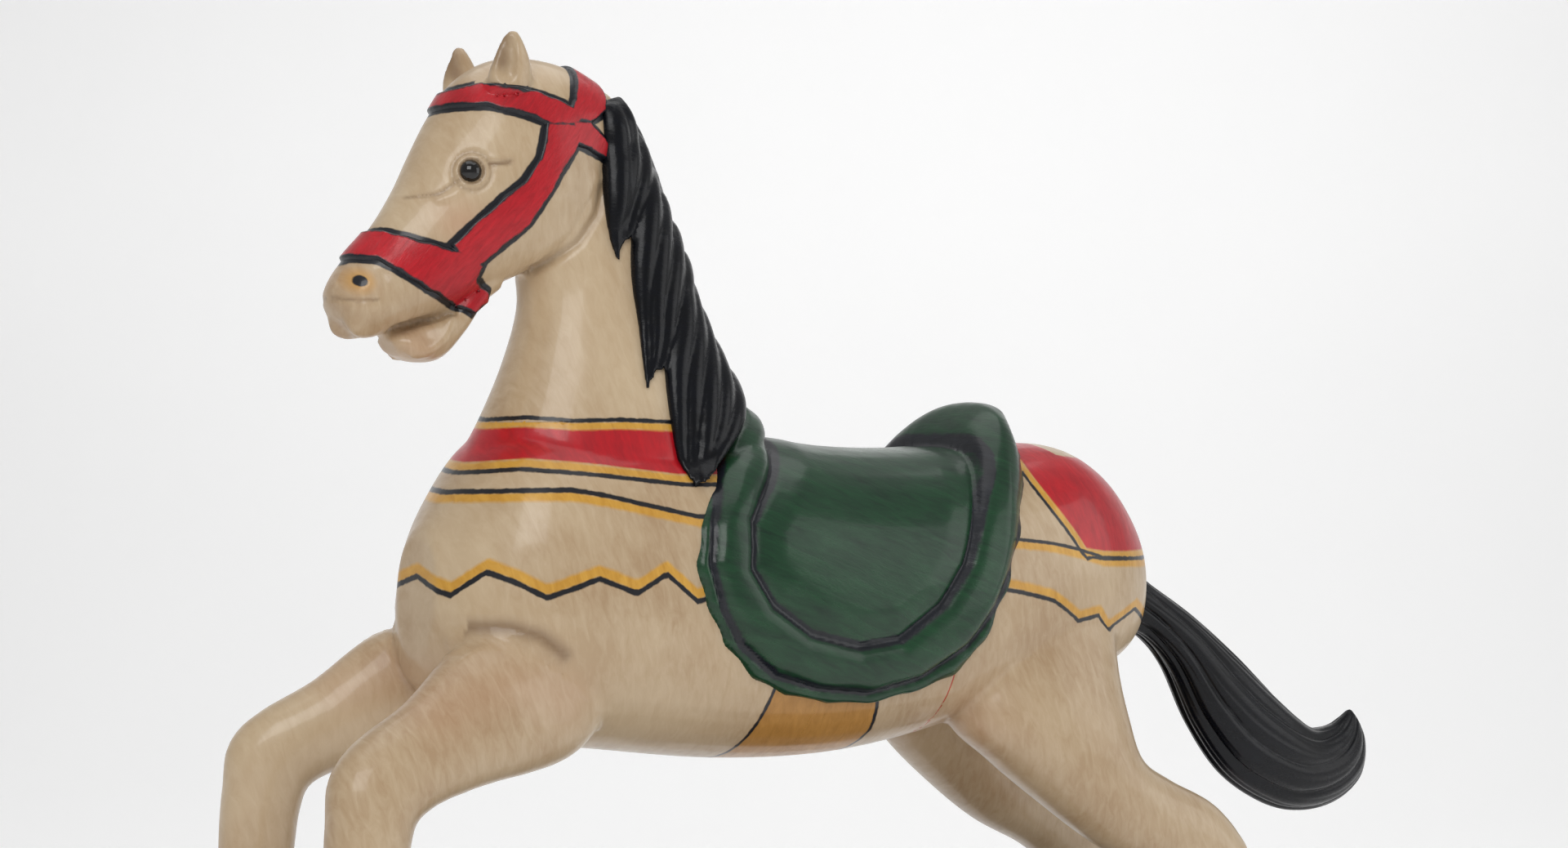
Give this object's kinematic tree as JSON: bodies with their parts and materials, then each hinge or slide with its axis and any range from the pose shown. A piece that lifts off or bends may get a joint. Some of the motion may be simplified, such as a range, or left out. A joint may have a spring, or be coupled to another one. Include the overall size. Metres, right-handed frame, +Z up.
{
  "type": "kiddie ride machine",
  "caption": "Coin-operated rocking ride: hand-painted galloping horse with saddle, bridle, mane and tail on a crank-driven frame over a steel cabinet with coin pedestal.",
  "frame": {"origin": "on the floor, at the centre of the four floor anchor holes, under the pivot shaft", "axes": "+Z up, the horse looks along -X, its left side is at -Y; the pivot shaft runs along Y"},
  "size_m": [1.5821, 0.484, 1.356],
  "materials": {
    "horse_paint": "hand-painted cream gel coat with brush marks under clear lacquer",
    "black_gloss": "thick glossy black paint",
    "saddle_green": "glossy bottle-green paint with brush marks and black grooves",
    "bridle_red": "glossy red paint with black outline",
    "armature_steel": "bright steel",
    "frame_paint": "black powder coat",
    "cabinet_paint": "red gloss enamel",
    "mat_rubber": "ribbed black rubber",
    "trim_aluminium": "satin anodised",
    "cast_housing": "grey-blue machine enamel on cast metal",
    "bronze": "machined bronze",
    "black_plastic": "moulded black plastic",
    "stainless": "brushed stainless steel",
    "chrome_fitting": "polished chrome",
    "button_red": "glossy translucent-looking red plastic"
  },
  "bodies": {
    "cabinet": {"base_frame": "frame_paint", "drive_tray": "frame_paint", "side_panels": "cabinet_paint", "front_panel": "cabinet_paint", "rear_panel": "cabinet_paint", "deck_plate": "cabinet_paint", "deck_mat": "mat_rubber", "deck_trim": "trim_aluminium", "bearing_pedestals": "frame_paint", "pillow_blocks": "cast_housing", "pivot_bushes": "bronze", "frame_bolts": "armature_steel", "gearbox_housing": "cast_housing", "motor": "cast_housing", "drive_belt": "mat_rubber", "control_box": "cabinet_paint", "timer_board": "black_plastic", "cable_gland": "black_plastic", "door_hinge_pins": "armature_steel", "coin_pedestal": "cabinet_paint", "coin_plate": "stainless", "coin_return_cup": "stainless", "coin_mech": "black_plastic", "button_guides": "black_plastic", "cash_box": "cabinet_paint"},
    "rocker": {"horse_armature": "armature_steel", "torso_shell_left": "horse_paint", "torso_shell_right": "horse_paint", "neck_head_shell_left": "horse_paint", "neck_head_shell_right": "horse_paint", "foreleg_left": "horse_paint", "foreleg_right": "horse_paint", "hind_leg_left": "horse_paint", "hind_leg_right": "horse_paint", "hooves": "black_gloss", "ears": "horse_paint", "mane": "black_gloss", "tail": "black_gloss", "saddle": "saddle_green", "bridle": "bridle_red", "rocker_frame": "frame_paint", "leg_rod_nuts": "armature_steel", "rail_end_caps": "black_plastic", "pivot_shaft": "armature_steel", "shaft_collars": "armature_steel", "clevis_pin": "armature_steel"},
    "rod": {"connecting_rod": "frame_paint"},
    "crank": {"crank_arm": "frame_paint", "output_shaft": "armature_steel", "worm_wheel": "bronze"},
    "worm": {"worm_shaft": "armature_steel", "input_pulley": "trim_aluminium"},
    "motor_rotor": {"motor_shaft": "armature_steel", "motor_pulley": "trim_aluminium"},
    "service_door": {"service_door": "cabinet_paint"},
    "service_latch": {"service_latch": "chrome_fitting"},
    "cash_door": {"cash_door": "cabinet_paint"},
    "cash_lock": {"cash_lock": "chrome_fitting"},
    "reject_button": {"reject_button": "stainless"},
    "start_button": {"start_button": "button_red"}
  },
  "joints": [
    {"name": "horse_rock", "type": "hinge", "parent": "cabinet", "child": "rocker", "pos_m": [0, 0, 0.335], "axis": [0, 1, 0], "range_deg": [-6, 6]},
    {"name": "crank_spin", "type": "hinge", "parent": "cabinet", "child": "crank", "pos_m": [0.32237, 0, 0.13], "axis": [0, 1, 0], "continuous": true},
    {"name": "worm_spin", "type": "hinge", "parent": "cabinet", "child": "worm", "pos_m": [0.32237, -0.075, 0.178], "axis": [1, 0, 0], "continuous": true},
    {"name": "motor_spin", "type": "hinge", "parent": "cabinet", "child": "motor_rotor", "pos_m": [0.2, 0.095, 0.115], "axis": [1, 0, 0], "continuous": true},
    {"name": "rod_swing", "type": "hinge", "parent": "rocker", "child": "rod", "pos_m": [0.36, 0, 0.29], "axis": [0, 1, 0], "range_deg": [-16, 16]},
    {"name": "service_door_swing", "type": "hinge", "parent": "cabinet", "child": "service_door", "pos_m": [0.58, -0.166, 0.119], "axis": [0, 0, 1], "range_deg": [-110, 0]},
    {"name": "service_latch_turn", "type": "hinge", "parent": "service_door", "child": "service_latch", "pos_m": [0.58, 0.142, 0.119], "axis": [1, 0, 0], "range_deg": [-90, 0]},
    {"name": "cash_door_swing", "type": "hinge", "parent": "cabinet", "child": "cash_door", "pos_m": [-0.73, -0.089, 0.152], "axis": [0, 0, 1], "range_deg": [0, 100]},
    {"name": "cash_lock_turn", "type": "hinge", "parent": "cash_door", "child": "cash_lock", "pos_m": [-0.726, 0.069, 0.152], "axis": [1, 0, 0], "range_deg": [-90, 0]},
    {"name": "reject_button_press", "type": "slide", "parent": "cabinet", "child": "reject_button", "axis": [1, 0, 0], "range_m": [0, 0.004], "stiffness_N_per_m": 300, "springref_m": -0.002},
    {"name": "start_button_press", "type": "slide", "parent": "cabinet", "child": "start_button", "axis": [0, 0, -1], "range_m": [0, 0.005], "stiffness_N_per_m": 300, "springref_m": -0.003}
  ],
  "couplings": [
    {"joint": "worm_spin", "follows": "crank_spin", "ratio": 20},
    {"joint": "motor_spin", "follows": "crank_spin", "ratio": 40}
  ]
}
